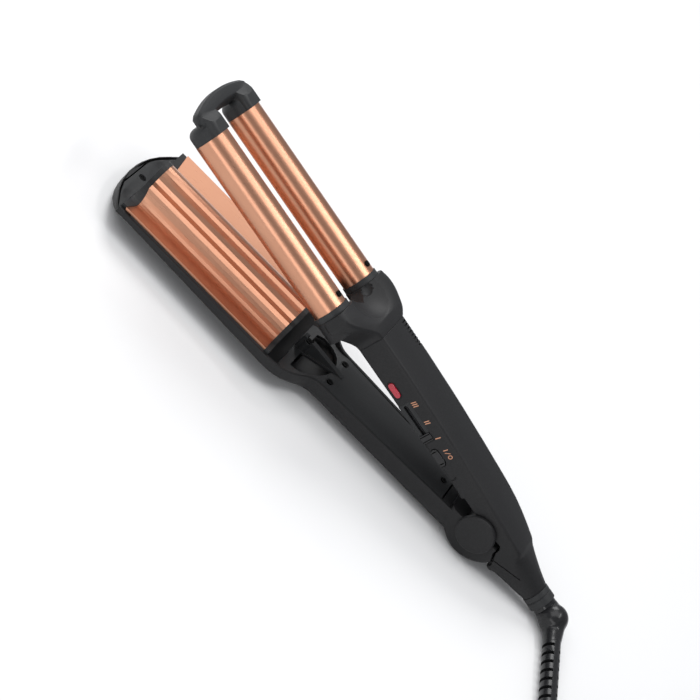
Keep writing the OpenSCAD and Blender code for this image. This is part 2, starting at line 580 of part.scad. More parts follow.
function lower_sec(s, inset) = let (w = s[1] - inset, b = max(s[3] - inset / 2, 3), k = 3,
    foot = s[2] + (inset > 0 ? 0.4 : 0), bot = s[4] + inset)
    [s[0], concat(
        [for (i = [0:k]) let (t = i / k) [b + (w - b) * t + 1.1 * sin(180 * t),
            bot + (foot - bot) * t - 1.1 * sin(180 * t)]],
        [[w, inset > 0 ? 30 : s[5]], [-w, inset > 0 ? 30 : s[5]]],
        [for (i = [k:-1:0]) let (t = i / k) [-b - (w - b) * t - 1.1 * sin(180 * t),
            bot + (foot - bot) * t - 1.1 * sin(180 * t)]])];

module bulge() {
    r0 = bulge_r;
    intersection() {
        rotate([90, 0, 0]) rotate_extrude($fn = 128) polygon([[0, -lug_half], [r0 - 3.2, -lug_half],
            [r0 - 1, -lug_half + 1.6], [r0, -lug_half + 4.2], [r0, lug_half - 4.2],
                [r0 - 1, lug_half - 1.6],
            [r0 - 3.2, lug_half], [0, lug_half]]);
        // the root end slopes away under the tail
        pull_y(-20, 20, [[-24, -24], [24, -24], [24, -10.5], [18.8, -10.5], [14.5, -2], [14.5, 0.8],
            [-24, 0.8]]);
    }
}

lip_y = plate_half - 4.6;       // inner edge of the ledges under the plate's lips
function lip_line(y) = let (f = lip_angle) channel_z + (abs(y) - channel_y) * tan(f);
channel_r = barrel_r + hair_gap;
channel_y = barrel_y + channel_r * sin(lip_angle);
channel_z = barrel_lift - channel_r * cos(lip_angle);

module lower_housing() color(black) difference() {
    lower() difference() {
        union() {
            difference() {
                loft([for (s = lower_secs) lower_sec(s, 0)]);
                loft([for (i = [1:len(lower_secs) - 1]) let (s = lower_secs[i],
                    x = i == 1 ? s[0] + wall : i == len(lower_secs) - 1 ? -26 : s[0])
                    [x, lower_sec(s, wall)[1]]]);
            }
            // ledges that carry the plate's lips
            for (s = [-1, 1]) mirror([0, s > 0 ? 1 : 0, 0])
                pull_x(-plate_tip + 5, -plate_root, [[-tray_half + 0.6, -1.6], [-lip_y, -1.6],
                    [-lip_y, lip_line(lip_y) - plate_wall * 1.07 - seat],
                    [-plate_half - plate_play,
                        lip_line(plate_half + plate_play) - plate_wall * 1.07 - seat],
                    [-tray_half + 0.6, 0]]);
            // bosses of the covers
            for (p = cover_bosses) translate([p[0], p[1], p[3]]) cylinder(h = p[2] - p[3] - seat,
                d = 6.4, $fn = 32);
            translate([tip_screw_x, 0, -14.2]) cylinder(h = 14.2 + cover_top - tip_cover_t - seat,
                d = 6, $fn = 32);
            // ribs under the heater clamp
            for (x = [-244, -208, -172]) block([x - 1, x + 1], [-18, 18], [table_z(x) + 1.5, -8.6]);
            bulge();
            along_y(-knuckle_half, knuckle_half, lug_r);
        }
        // pockets of the upper arm's lugs, the spring's window and the pin hole
        for (s = [-1, 1]) along_y(s > 0 ? knuckle_half : -20, s > 0 ? 20 : -knuckle_half, lug_r + 0.8);
        along_y(-window, window, spring_r + spring_wire / 2 + 0.6);
        block([-15, 0], [1.8, window], [-spring_r - 1.2, 2]);
        block([-12, -0.9], [-window, -1.8], [1.5, 12]);
        along_y(-30, 30, pin_d / 2);
    }
    translate([0, 0, -50]) cube([600, 200, 100], center = true);
}

// Screw bosses under the covers: [x, y, top, foot]
cover_bosses = [[-139.6, 0, -9.6, -17], [-116, 11.3, -4.4, -12.5], [-116, -11.3, -4.4, -12.5],
    [-32, 0, -3.6, -17.5]];

cover_top = nose_rim - 0.4;             // face of the tip cover, a little below the rim
tip_cover_t = 2;
tip_screw_x = -plate_tip - 7.3;
dimple_r = 16;
module tip_cover() color([0.2, 0.2, 0.21]) lower() difference() {
    edge = [for (i = [1:5]) let (s = lower_secs[i])
        [i == 1 ? s[0] + wall + 0.5 : i == 5 ? s[0] : s[0] + 0.9, s[1] - wall - 0.5]];
    translate([0, 0, cover_top - tip_cover_t]) linear_extrude(tip_cover_t)
        polygon(concat([for (p = edge) [p[0], -p[1]]], [for (i = [4:-1:0]) edge[i]]));
    // hollows that carry on the plate's channels under the barrels' end caps
    for (s = [-1, 1]) translate([-plate_tip - 4, s * barrel_y, cover_top + dimple_r - 0.8])
        sphere(r = dimple_r, $fn = 96);
    translate([tip_screw_x, 0, -8]) cylinder(h = 10, d = 2.6, $fn = 32);
    translate([tip_screw_x, 0, cover_top - 1.1]) cylinder(h = 4, d = 4.6, $fn = 32);
}
module tip_screw() color([0.08, 0.08, 0.08]) lower() translate([tip_screw_x, 0, cover_top]) difference() {
    union() {
        translate([0, 0, -tip_cover_t + 0.1]) cylinder(h = 1.2, d = 2.4, $fn = 32);
        translate([0, 0, -1.08]) cylinder(h = 0.9, d = 4.2, $fn = 32);
    }
    for (a = [0, 90]) rotate([0, 0, a]) block([-0.3, 0.3], [-1.5, 1.5], [-0.6, 2]);
}

// The plate's line from lip to ridge top, inset by t
flank_a = 64;
function half_wave(t) = concat(
    [[-plate_half, lip_line(plate_half) - t / cos(lip_angle)]],
    [for (i = [0:7]) let (a = -lip_angle + (flank_a + lip_angle) * i / 7)
        [-barrel_y + (channel_r + t) * sin(a), barrel_lift - (channel_r + t) * cos(a)]],
    [for (i = [0:6]) let (a = 180 - 90 * i / 6)
        [(ridge_r - t) * cos(a), ridge_lift + (ridge_r - t) * sin(a)]]);
function wave(t) = let (h = half_wave(t)) concat(h, [for (i = [len(h) - 2:-1:0]) [-h[i][0], h[i][1]]]);
function flipped(p) = [for (i = [len(p) - 1:-1:0]) p[i]];

// Everything ahead of the plate's tip edge, which leans back below the lips
module ahead(shift) {
    lip = lip_line(plate_half);
    pull_y(-60, 60, [[-300, 40], [-plate_tip + shift, 40], [-plate_tip + shift, lip],
        [-plate_tip + shift + 5.4, lip - 12], [-300, lip - 12]]);
}
module wave_plate() color(copper) lower() difference() {
    pull_x(-plate_tip, -plate_root, concat(wave(0), flipped(wave(plate_wall))));
    ahead(0);
}

module plate_end(x0, x1, foot, edge, half) {
    intersection() {
        pull_x(x0, x1, concat(wave(-0.35), [[plate_half, edge], [plate_half - 5, edge],
            [24, foot], [-24, foot], [5 - plate_half, edge], [-plate_half, edge]]));
        block([x0 - 1, x1 + 1], [-half, half], [-20, 40]);
    }
}
module plate_front_frame() color(soft_black) lower() intersection() {
    plate_end(-plate_tip - frame_t, -plate_tip + 8, cover_top - 2.8, cover_top - 0.1, plate_half - 1.4);
    ahead(-seat);
}
module plate_rear_frame() color(soft_black) lower() difference() {
    plate_end(-plate_root + seat, -plate_root + frame_t, -8, 0.4, plate_half - 0.1);
    block([-160, -140], [-6, 6], [-9, -3]);
}

module plate_heater() color([0.85, 0.85, 0.82]) lower() {
    inner = ridge_r - plate_wall - fit;
    intersection() {
        translate([0, 0, ridge_lift]) along_x(-plate_tip + 12, -plate_root - 12, inner);
        block([-plate_tip, -plate_root], [-20, 20], [-1, 30]);
    }
    block([-plate_tip + 14, -plate_root - 14], [-5, 5], [-5.8, -1]);
}
module heater_clamp() color(steel) lower() {
    difference() {
        block([-plate_tip + 8, -plate_root - 8], [-16, 16], [-8.58, -7]);
        for (x = [-240, -225, -185]) block([x - 4, x + 4], [-12, 12], [-10, -6]);
    }
    block([-216, -200], [-4, 4], [-7, -5.8 - seat]);
}

// Cover inside the lever: a sloping nose with a middle rib and two windows
window_r = 21.4;
module lever_inner_cover() color([0.16, 0.16, 0.17]) lower() {
    t = 1.8;
    plan = [for (q = [[-27, 4.1], [-60, 2.6], [-110, 0], [-121, -0.8], [-126, -3.2], [-131, -7.5],
        [-137, -10], [-144, -8]])
        [q[0], lever_half - q[1] - wall - 0.3]];
    difference() {
        union() {
            intersection() {
                pull_y(-30, 30, [[-27, lever_rim - 0.3], [-116, lever_rim - 0.3], [-122, -2.8],
                    [-144, -7.7],
                    [-144, -7.7 - t], [-121.6, -2.8 - t], [-115.6, lever_rim - 0.3 - t],
                        [-27, lever_rim - 0.3 - t]]);
                translate([0, 0, -20]) linear_extrude(30) polygon(concat([for (q = plan) [q[0], -q[1]]],
                    [for (i = [7:-1:0]) plan[i]]));
            }
            // middle rib with its screw pad
            pull_y(-1.9, 1.9, [[-144, 2.2], [-112, lever_rim + 0.1], [-112, lever_rim - 1], [-144, -8]]);
            translate([-139.6, 0, -8.6]) cylinder(h = 8.4, d = 6, $fn = 32);
        }
        // windows each side of the rib, their outer edge one round arc
        for (s = [-1, 1]) mirror([0, s > 0 ? 1 : 0, 0]) translate([0, 0, -20]) linear_extrude(30)
            polygon(concat([[-138.4, -3.5]], arc(-140, 0, window_r, -6.2, -74, 10),
                [[-138.4, -window_r + 2]]));
        for (p = cover_bosses) translate([p[0], p[1], -20]) cylinder(h = 30, d = 2.6, $fn = 32);
        for (i = [1, 2]) let (p = cover_bosses[i]) translate([p[0], p[1], lever_rim - 0.9])
            cylinder(h = 5, d = 4.8, $fn = 32);
        translate([-32, 0, lever_rim - 0.9]) cylinder(h = 5, d = 4, $fn = 32);
        translate([-139.6, 0, -0.9]) cylinder(h = 5, d = 4.8, $fn = 32);
    }
}
module cover_screws() color([0.08, 0.08, 0.08]) lower()
    for (q = [[-139.6, 0, -0.9], [-116, 11.3, lever_rim - 0.9], [-116, -11.3, lever_rim - 0.9],
        [-32, 0, lever_rim - 0.9]])
        translate([q[0], q[1], q[2] + seat]) difference() {
            union() {
                cylinder(h = 0.9, d = 3.6, $fn = 32);
                translate([0, 0, -0.8]) cylinder(h = 1, d = 2.2, $fn = 32);
            }
            for (a = [0, 90]) rotate([0, 0, a]) block([-0.25, 0.25], [-1.2, 1.2], [0.5, 2]);
        }

// --------------------------------------------------------------- mains lead
cord_r = cord_d / 2;
coil_at = [153.7, -84.5];
coil_start = 201.6;     // angle where the lead meets the coil
strap = 0.5;            // thickness of the strap under the coil
// Radius and height along the coil: in, up a layer, out again
function coil_point(a) = let (
        turn = 360 * coil_turns,
        r = coil_r - coil_pitch * (a < turn ? a : a < turn + 180 ? turn : 2 * turn + 180 - a) / 360
            - (a > turn && a < turn + 180 ? 1.5 * sin(a - turn) : 0),
        z = cord_r + strap + (a < turn ? 0 : a > turn + 180 ? coil_pitch
            : coil_pitch * (1 - cos(a - turn)) / 2))
    [coil_at[0] + r * cos(coil_start + a), coil_at[1] + r * sin(coil_start + a), z];
coil_total = 720 * coil_turns + 180;
function coil_way(a) = unit(coil_point(a + 1) - coil_point(a - 1));
coil_first = coil_point(0);
coil_last = coil_point(coil_total);
// Hand-chosen route from the strain relief to the coil, from the pivot's foot
lead_points = [[96.8, -73.5, 4.8], [99.1, -79.5, 4.2], [101.4, -85.4, 3.7]];
// Route from the coil down to the table and on to the plug
end_points = [[193.3, -50, 9.5], [191.7, -44.7, 8.4], [190.1, -39.4, 7.1], [188.5, -34.1, 5.9],
    [187, -28.8, 5.1], [185.8, -23.5, 5], [184.6, -18.2, 5]];

module cord_lead() color([0.08, 0.08, 0.08]) translate([pivot_x, 0, 0]) {
    pts = concat([boot_end + seat * boot_dir, boot_end + cord_d * boot_dir], lead_points,
        [coil_first - 2 * cord_d * coil_way(0), coil_first - (cord_d + seat) * coil_way(0)]);
    tube(pts, [for (p = pts) cord_r], 8);
}
module cord_coil() color([0.08, 0.08, 0.08]) translate([pivot_x, 0, 0]) {
    rings = 24 * (2 * coil_turns + 0.5);
    turns = [for (i = [0:rings]) coil_point(coil_total * i / rings)];
    // both ends run straight for one diameter
    pts = concat([coil_first - cord_d * coil_way(0)], turns, [coil_last + cord_d * coil_way(coil_total)]);
    echo(least_coil_gap = min([for (i = [0:2:rings - 20]) for (j = [i + 16:rings])
        norm(pts[i] - pts[j])]) - cord_d);
    tube(pts, [for (p = pts) cord_r], 6);
}
module cord_end() color([0.08, 0.08, 0.08]) translate([pivot_x, 0, 0]) {
    pts = concat([coil_last + (cord_d + seat) * coil_way(coil_total), coil_last
        + 2 * cord_d * coil_way(coil_total)],
        end_points);
    tube(pts, [for (p = pts) cord_r], 8);
}
module cord_tie() color([0.2, 0.2, 0.2]) translate([pivot_x, 0, 0]) {
    mid = coil_r - coil_turns * coil_pitch / 2;
    half = coil_turns * coil_pitch / 2 + cord_r + 2.6;
    high = coil_pitch / 2 + cord_r + seat;
    translate([coil_at[0], coil_at[1], 0]) rotate([0, 0, -60]) translate([mid, 0, high + strap - seat])
        rotate([90, 0, 0]) linear_extrude(12, center = true) difference() {
            square([2 * half + 2 * strap, 2 * high + 2 * (strap - 2 * seat)], center = true);
            square([2 * half, 2 * high], center = true);
        }
}
plug_at = end_points[6];
plug_way = unit(end_points[6] - end_points[5]);
module plug_place() {
    translate([pivot_x + plug_at[0], plug_at[1], plug_at[2]])
        rotate([0, 0, atan2(plug_way[1], plug_way[0])]) children();
}
module plug_body() color([0.07, 0.07, 0.07]) plug_place() difference() {
    translate([0, 0, -plug_at[2]]) linear_extrude(13.6) polygon([[0, -4.2], [10, -5], [14, -9], [20, -16.6],
        [36, -16.6], [36, 16.6], [20, 16.6], [14, 9], [10, 5], [0, 4.2]]);
    for (s = [-1, 1]) translate([0, s * plug_pitch / 2, 1.8]) along_x(24, 40, 1.6);
}
module plug_pins() color(steel) plug_place()
    for (s = [-1, 1]) translate([0, s * plug_pitch / 2, 1.8]) {
        along_x(24.2, 37, 1.6);
        along_x(36 + seat, 55, plug_pin_d / 2);
    }

handle_shell();
handle_inner_cover();
barrel_yoke();
barrel_collars();
barrel_near();
barrel_far();
barrel_heaters();
barrel_screws();
barrel_end_caps();
tip_bridge();
circuit_board();
lamp_lens();
slider_bed();
heat_slider();
heat_switch();
power_button();
power_switch();
hinge_pin();
hinge_cap_near();
hinge_cap_far();
hinge_spring();
tail_collar();
cord_swivel();
elbow_boot();
lower_housing();
tip_cover();
tip_screw();
wave_plate();
plate_front_frame();
plate_rear_frame();
plate_heater();
heater_clamp();
lever_inner_cover();
cover_screws();
cord_lead();
cord_coil();
cord_end();
cord_tie();
plug_body();
plug_pins();
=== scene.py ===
# %% [markdown]
# # A hair waver, dressed in Blender
# The frame is a imported CAD model: two round barrels on an upper arm close round the ridge of a
# wave plate on a lower arm.  We load it first.  The looks must not change its size.

# %% Load the frame
import json
import math

import bmesh
import bpy
from mathutils import Matrix, Vector


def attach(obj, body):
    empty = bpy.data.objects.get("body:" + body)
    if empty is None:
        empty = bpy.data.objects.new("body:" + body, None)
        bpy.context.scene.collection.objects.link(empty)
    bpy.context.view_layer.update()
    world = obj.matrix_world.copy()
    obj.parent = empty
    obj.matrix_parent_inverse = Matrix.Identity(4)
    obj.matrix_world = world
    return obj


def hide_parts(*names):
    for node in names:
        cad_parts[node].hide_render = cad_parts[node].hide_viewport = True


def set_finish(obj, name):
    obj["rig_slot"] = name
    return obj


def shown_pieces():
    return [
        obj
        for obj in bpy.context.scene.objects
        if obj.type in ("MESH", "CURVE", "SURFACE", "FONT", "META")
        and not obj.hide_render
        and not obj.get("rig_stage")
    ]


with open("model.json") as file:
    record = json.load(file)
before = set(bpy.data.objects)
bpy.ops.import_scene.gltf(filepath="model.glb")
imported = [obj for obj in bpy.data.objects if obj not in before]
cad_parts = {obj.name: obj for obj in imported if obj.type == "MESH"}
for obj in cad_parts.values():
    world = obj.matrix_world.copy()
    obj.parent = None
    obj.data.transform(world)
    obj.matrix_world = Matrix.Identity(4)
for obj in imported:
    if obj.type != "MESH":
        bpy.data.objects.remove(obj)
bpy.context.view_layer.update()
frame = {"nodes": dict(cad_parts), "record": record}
nodes = frame["nodes"]
print("nodes", len(nodes))

# %% [markdown]
# ## Where things are
# The lower arm lies on the table and the upper arm stands open above it, by 10.6 degrees.  Two
# small matrices turn "millimetres from the hinge" into places in the frame, so each detail can
# be written with the same numbers that a drawing would have: along the upper arm, and on the
# table under the hinge.

# %% Millimetres from the hinge
PIVOT = Vector((0.107948, 0, 0.0205))
MM = Matrix.Scale(0.001, 4)
UPPER = Matrix.Translation(PIVOT) @ Matrix.Rotation(math.radians(10.6), 4, "Y") @ MM
TABLE = Matrix.Translation((PIVOT.x, 0, 0)) @ MM
print("tip of the upper arm", UPPER @ Vector((-270, 0, 8)))

# %% [markdown]
# ## The camera
# The photograph looks down on the tool from its control side, with the camera turned so that
# the tips point to the upper left.  A long lens far away keeps the two arms nearly parallel.

# %% Camera
camera_data = bpy.data.cameras.new("photo_camera")
camera_data.sensor_width = 36
camera_data.lens = 130.92
camera_data.clip_end = 50
camera = bpy.data.objects.new("photo_camera", camera_data)
bpy.context.scene.collection.objects.link(camera)
eye = Vector((-0.08826, -1.1622, 0.81519))
aim = Vector((-0.01273, 0.00456, 0.03))
roll = Matrix.Rotation(math.radians(48.42), 3, "Z")
turn = (aim - eye).to_track_quat("-Z", "Y").to_matrix() @ roll
camera.matrix_world = Matrix.Translation(eye) @ turn.to_4x4()
bpy.context.scene.camera = camera
print("camera", round((aim - eye).length, 2), "m away")

# %% [markdown]
# ## Two helpers
# A piece is finished when its mesh is in place, rides on a body and names the finish it takes.
# One helper does these three things, so that each cell below only has to make a shape.  The
# other shades a mesh smooth, but leaves its real edges sharp.

# %% Put a shape in the scene
SHARP = 38  # degrees between two faces from which an edge counts as real


def settle(name, shape, place, body, finish):
    """Turn a bmesh into a piece: its place goes into the mesh, and it rides on a body."""
    mesh = bpy.data.meshes.new(name)
    shape.transform(place)
    bmesh.ops.recalc_face_normals(shape, faces=shape.faces)
    shape.to_mesh(mesh)
    shape.free()
    piece = bpy.data.objects.new(name, mesh)
    bpy.context.scene.collection.objects.link(piece)
    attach(piece, body)
    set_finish(piece, finish)
    print(name, len(mesh.polygons), "faces")
    return piece


def smooth_by_angle(mesh, angle):
    """Smooth shading that keeps every edge sharper than the angle."""
    edges = bmesh.new()
    edges.from_mesh(mesh)
    for face in edges.faces:
        face.smooth = True
    for edge in edges.edges:
        edge.smooth = len(edge.link_faces) == 2 and edge.calc_face_angle(0) < math.radians(angle)
    edges.to_mesh(mesh)
    edges.free()


# %% [markdown]
# ## The mains lead
# The photograph ends at the strain relief, so the rest of a usual 1.8 m lead is put away.  It
# leaves the relief, drops to the table and winds into a flat coil of two layers, in and out
# again, and its plug lies at the coil's side.  A Bezier curve with automatic handles runs through
# every point of the route.  The curve's round bevel has a radius of 1, so each point's own
# radius, 3 mm, is the radius of the sheath there.

# %% Route of the lead
coil_centre = Vector((153.7, -84.5, 0))
coil_start, coil_pitch, coil_radius = 201.6, 6.5, 47.9
layer_turn, climb_turn = 1260, 180  # degrees wound in each layer, and while the lead climbs
coil_end = 2 * layer_turn + climb_turn
lead_radius = 0.003


def coil_point(a):
    """A point of the coil after a degrees: in, up one layer, and out again."""
    wound = min(a, layer_turn, coil_end - a)
    climb = min(max(a - layer_turn, 0), climb_turn)
    radius = coil_radius - coil_pitch * wound / 360 - 1.5 * math.sin(math.radians(climb))
    height = 3.5 + coil_pitch * (1 - math.cos(math.radians(climb))) / 2
    turned = math.radians(coil_start + a)
    return coil_centre + Vector((radius * math.cos(turned), radius * math.sin(turned), height))


relief_start = Vector((74.1, -16, 6.8))
relief_end = Vector((92.3, -62, 5.4))
relief_way = (relief_end - relief_start).normalized()
way_in = (coil_point(1) - coil_point(-1)).normalized()
way_out = (coil_point(coil_end + 1) - coil_point(coil_end - 1)).normalized()
drop_points = [(96.8, -73.5, 4.8), (99.1, -79.5, 4.2), (101.4, -85.4, 3.7)]
plug_points = [(193.3, -50, 9.5), (191.7, -44.7, 8.4), (190.1, -39.4, 7.1), (188.5, -34.1, 5.9)]
plug_points += [(187, -28.8, 5.1), (185.8, -23.5, 5), (184.6, -18.2, 5)]
route = [relief_end, relief_end + 6 * relief_way]
route += [Vector(p) for p in drop_points]
route += [coil_point(0) - 12 * way_in, coil_point(0) - 6 * way_in]
route += [coil_point(a) for a in range(0, coil_end + 1, 15)]
route += [coil_point(coil_end) + 6 * way_out, coil_point(coil_end) + 12 * way_out]
route += [Vector(p) for p in plug_points]
route = [TABLE @ p for p in route]

# %% The lead itself
lead_curve = bpy.data.curves.new("mains_lead", "CURVE")
lead_curve.dimensions = "3D"
lead_curve.bevel_depth = 1
lead_curve.bevel_resolution = 4
lead_curve.resolution_u = 3
lead_curve.use_fill_caps = True
line = lead_curve.splines.new("BEZIER")
line.bezier_points.add(len(route) - 1)
for knot, point in zip(line.bezier_points, route):
    knot.co = point
    knot.radius = lead_radius
    knot.handle_left_type = knot.handle_right_type = "AUTO"
lead = bpy.data.objects.new("mains_lead", lead_curve)
bpy.context.scene.collection.objects.link(lead)
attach(lead, "upper_arm")
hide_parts("cord_lead", "cord_coil", "cord_end")
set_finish(lead, "cord_black")
print("points of the lead", len(route))

# %% [markdown]
# ## The tie round the coil
# A woven strap holds the turns together.  A flat rectangle gets round corners with a vertex
# bevel, is drawn out to the strap's width, loses its two end faces and gets a wall: a band that
# goes round the bundle without touching the turns.

# %% Strap
strap_half_length, strap_half_height, strap_width = 17.2, 6.48, 12
strap_corner, strap_wall = 4.4, 0.42
strap_shape = bmesh.new()
bmesh.ops.create_grid(strap_shape, x_segments=1, y_segments=1, size=1)
bmesh.ops.scale(strap_shape, vec=(strap_half_length, strap_half_height, 1), verts=strap_shape.verts)
bmesh.ops.bevel(
    strap_shape,
    geom=strap_shape.verts[:],
    offset=strap_corner,
    segments=6,
    profile=0.5,
    affect="VERTICES",
    material=-1,
)
drawn = bmesh.ops.extrude_face_region(strap_shape, geom=strap_shape.faces[:])
moved = [v for v in drawn["geom"] if isinstance(v, bmesh.types.BMVert)]
bmesh.ops.translate(strap_shape, vec=(0, 0, strap_width), verts=moved)
ends = [f for f in strap_shape.faces if abs(f.normal.z) > 0.9]
bmesh.ops.delete(strap_shape, geom=ends, context="FACES")
bmesh.ops.recalc_face_normals(strap_shape, faces=strap_shape.faces)
bmesh.ops.solidify(strap_shape, geom=strap_shape.faces[:], thickness=strap_wall)
strap_place = (
    TABLE
    @ Matrix.Translation(coil_centre)
    @ Matrix.Rotation(math.radians(-60), 4, "Z")
    @ Matrix.Translation((coil_radius - 3.5 * coil_pitch / 2, strap_width / 2, 6.75))
    @ Matrix.Rotation(math.radians(90), 4, "X")
)
strap = settle("coil_strap", strap_shape, strap_place, "upper_arm", "strap")
smooth_by_angle(strap.data, 40)
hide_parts("cord_tie")

# %% [markdown]
# ## Smooth copies of the moulded shells
# A CAD node comes as loose flat triangles.  To dress one we copy its mesh, merge its doubled
# corners, melt the flat triangles into larger faces and shade it smooth, but keep its real
# edges.  A narrow bevel then rounds those edges, because no moulded edge is razor sharp and the
# light catches the little round.

# %% Copy and round a CAD node
def dressed_copy(name, node, body, finish, round_edge, segments=2, clamp=False):
    """A merged and softly edged copy of a node, which then stands for it."""
    mesh = nodes[node].data.copy()
    mesh.name = name
    mesh.materials.clear()
    shape = bmesh.new()
    shape.from_mesh(mesh)
    bmesh.ops.remove_doubles(shape, verts=shape.verts, dist=2e-6)
    bmesh.ops.dissolve_degenerate(shape, edges=shape.edges, dist=3e-6)
    bmesh.ops.dissolve_limit(shape, angle_limit=math.radians(0.6), verts=shape.verts, edges=shape.edges)
    shape.to_mesh(mesh)
    shape.free()
    smooth_by_angle(mesh, SHARP)
    piece = bpy.data.objects.new(name, mesh)
    bpy.context.scene.collection.objects.link(piece)
    edge_round = piece.modifiers.new("edge_round", "BEVEL")
    edge_round.width = round_edge
    edge_round.segments = segments
    edge_round.limit_method = "ANGLE"
    edge_round.angle_limit = math.radians(SHARP)
    edge_round.use_clamp_overlap = clamp
    edge_round.harden_normals = True
    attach(piece, body)
    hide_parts(node)
    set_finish(piece, finish)
    print(name, len(mesh.polygons), "faces")
    return piece


handle = dressed_copy("handle_skin", "handle_shell", "upper_arm", "black_plastic", 0.00025)
yoke = dressed_copy("yoke_skin", "barrel_yoke", "upper_arm", "black_plastic", 0.0003)
# the bridge takes the lighter trim paint, a painted sheen for its bright legs
bridge = dressed_copy("bridge_skin", "tip_bridge", "upper_arm", "dark_trim", 0.0002, clamp=True)
tray = dressed_copy("tray_skin", "lower_housing", "lower_arm", "black_plastic", 0.0003)

# %% [markdown]
# ## Plug and strain relief
# The plug gets a generous round on its moulded edges.  The elbow and its ribbed relief are one
# rubber moulding, but they need two treatments: the elbow should flow without any edge, so its
# half is cut off, closed and remeshed, and the ribs should stay crisp, so their half only gets a
# small bevel.

# %% Plug
plug = dressed_copy("plug_skin", "plug_body", "upper_arm", "plug_black", 0.0012, 4)

# %% Elbow and ribbed relief
def cut_copy(name, keep_outer, cut_at):
    """The elbow's mesh on one side of a cut across the relief, closed again."""
    shape = bmesh.new()
    shape.from_mesh(nodes["elbow_boot"].data)
    bmesh.ops.remove_doubles(shape, verts=shape.verts, dist=2e-6)
    bmesh.ops.bisect_plane(
        shape,
        geom=shape.verts[:] + shape.edges[:] + shape.faces[:],
        dist=1e-7,
        plane_co=TABLE @ (relief_start + cut_at * relief_way),
        plane_no=relief_way,
        clear_inner=keep_outer,
        clear_outer=not keep_outer,
    )
    bmesh.ops.holes_fill(shape, edges=[e for e in shape.edges if e.is_boundary])
    return settle(name, shape, Matrix.Identity(4), "cord_rotor", "boot_rubber")


first_rib, overlap = 3.4, 0.8  # the cut, and how far the elbow reaches past it, in millimetres
elbow = cut_copy("elbow_skin", False, first_rib + overlap)
blend = elbow.modifiers.new("blend", "REMESH")
blend.mode = "VOXEL"
blend.voxel_size = 0.0005
blend.use_smooth_shade = True
ease = elbow.modifiers.new("ease", "SMOOTH")
ease.factor = 0.6
ease.iterations = 26
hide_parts("elbow_boot")
relief = cut_copy("relief_ribs", True, first_rib)
smooth_by_angle(relief.data, SHARP)
rib_round = relief.modifiers.new("rib_round", "BEVEL")
rib_round.width = 0.00045
rib_round.segments = 3
rib_round.limit_method = "ANGLE"
rib_round.angle_limit = math.radians(SHARP)
rib_round.use_clamp_overlap = True

# %% [markdown]
# ## Marks by the slider and the button
# The settings are printed beside the controls in the barrels' copper colour: three bars, two
# bars and one, and an I / O at the button.  Each stroke is one thin slab, a fraction of a
# millimetre proud of the facet, so it stays sharp from every side.

# %% Printed marks
FACET, INK = -16.0, 0.14  # where the control facet lies, and how thick a mark is


def stroke(shape, x, z, length, width=0.55, lean=10):
    """One printed bar on the control facet, leaning a few degrees as the printed ones do."""
    bar = bmesh.ops.create_cube(shape, size=1)["verts"]
    bmesh.ops.scale(shape, vec=(width, INK, length), verts=bar)
    bmesh.ops.rotate(shape, matrix=Matrix.Rotation(math.radians(lean), 3, "Y"), verts=bar)
    bmesh.ops.translate(shape, vec=(x, FACET, z), verts=bar)


marks_shape = bmesh.new()
for count, middle in ((3, -80.5), (2, -68.4), (1, -57.8)):
    for k in range(count):
        stroke(marks_shape, middle + 1.25 * (k - (count - 1) / 2), 14.8, 3.4)
stroke(marks_shape, -49.8, 14.3, 3.0)
stroke(marks_shape, -47.7, 14.3, 3.3, 0.4, 32)
ring_arc = bmesh.ops.create_circle(marks_shape, segments=24, radius=1.45)["verts"]
bmesh.ops.scale(marks_shape, vec=(0.8, 1, 1), verts=ring_arc)
ring_inner = bmesh.ops.create_circle(marks_shape, segments=24, radius=0.95)["verts"]
bmesh.ops.scale(marks_shape, vec=(0.8, 1, 1), verts=ring_inner)
ring_edges = list({e for v in ring_arc + ring_inner for e in v.link_edges})
ring_faces = bmesh.ops.bridge_loops(marks_shape, edges=ring_edges)["faces"]
ring_top = bmesh.ops.extrude_face_region(marks_shape, geom=ring_faces)["geom"]
ring_top = [v for v in ring_top if isinstance(v, bmesh.types.BMVert)]
bmesh.ops.translate(marks_shape, vec=(0, 0, INK), verts=ring_top)
ring_all = ring_arc + ring_inner + ring_top
bmesh.ops.rotate(marks_shape, matrix=Matrix.Rotation(math.radians(90), 3, "X"), verts=ring_all)
bmesh.ops.translate(marks_shape, vec=(-45.1, FACET + INK / 2, 14.3), verts=ring_all)
marks = settle("setting_marks", marks_shape, UPPER, "upper_arm", "copper_coat")

# %% [markdown]
# ## The slider's track
# The track is a shallow pocket with a dotted inlay.  One round pip is a very low cone, and copies
# of it stand in four rows on both sides of the slot.  They rise only a few hundredths of a
# millimetre above the inlay, so that the knob can slide over them.

# %% Pips of the track
track_start, track_height, pip_step = -82.2, 8.6, 1.15
pips_shape = bmesh.new()
for k in range(17):
    for z in (-3.1, -2.1, 2.1, 3.1):
        x = track_start + pip_step * k + (0.3 if abs(z) > 3 else -0.3)
        place = Matrix.Translation((x, -15.58, track_height + z))
        bmesh.ops.create_cone(
            pips_shape,
            cap_ends=True,
            segments=8,
            radius1=0.4,
            radius2=0.22,
            depth=0.12,
            matrix=place @ Matrix.Rotation(math.radians(90), 4, "X"),
        )
pips = settle("track_pips", pips_shape, UPPER, "upper_arm", "dark_trim")

# %% [markdown]
# ## Keys, lens and covers
# The keys and the red lens are separate mouldings, and their bevel has three steps, because a
# finger or an eye comes close to them.  The covers, the collar and the barrels' end caps get the
# same narrow edge as the shells.

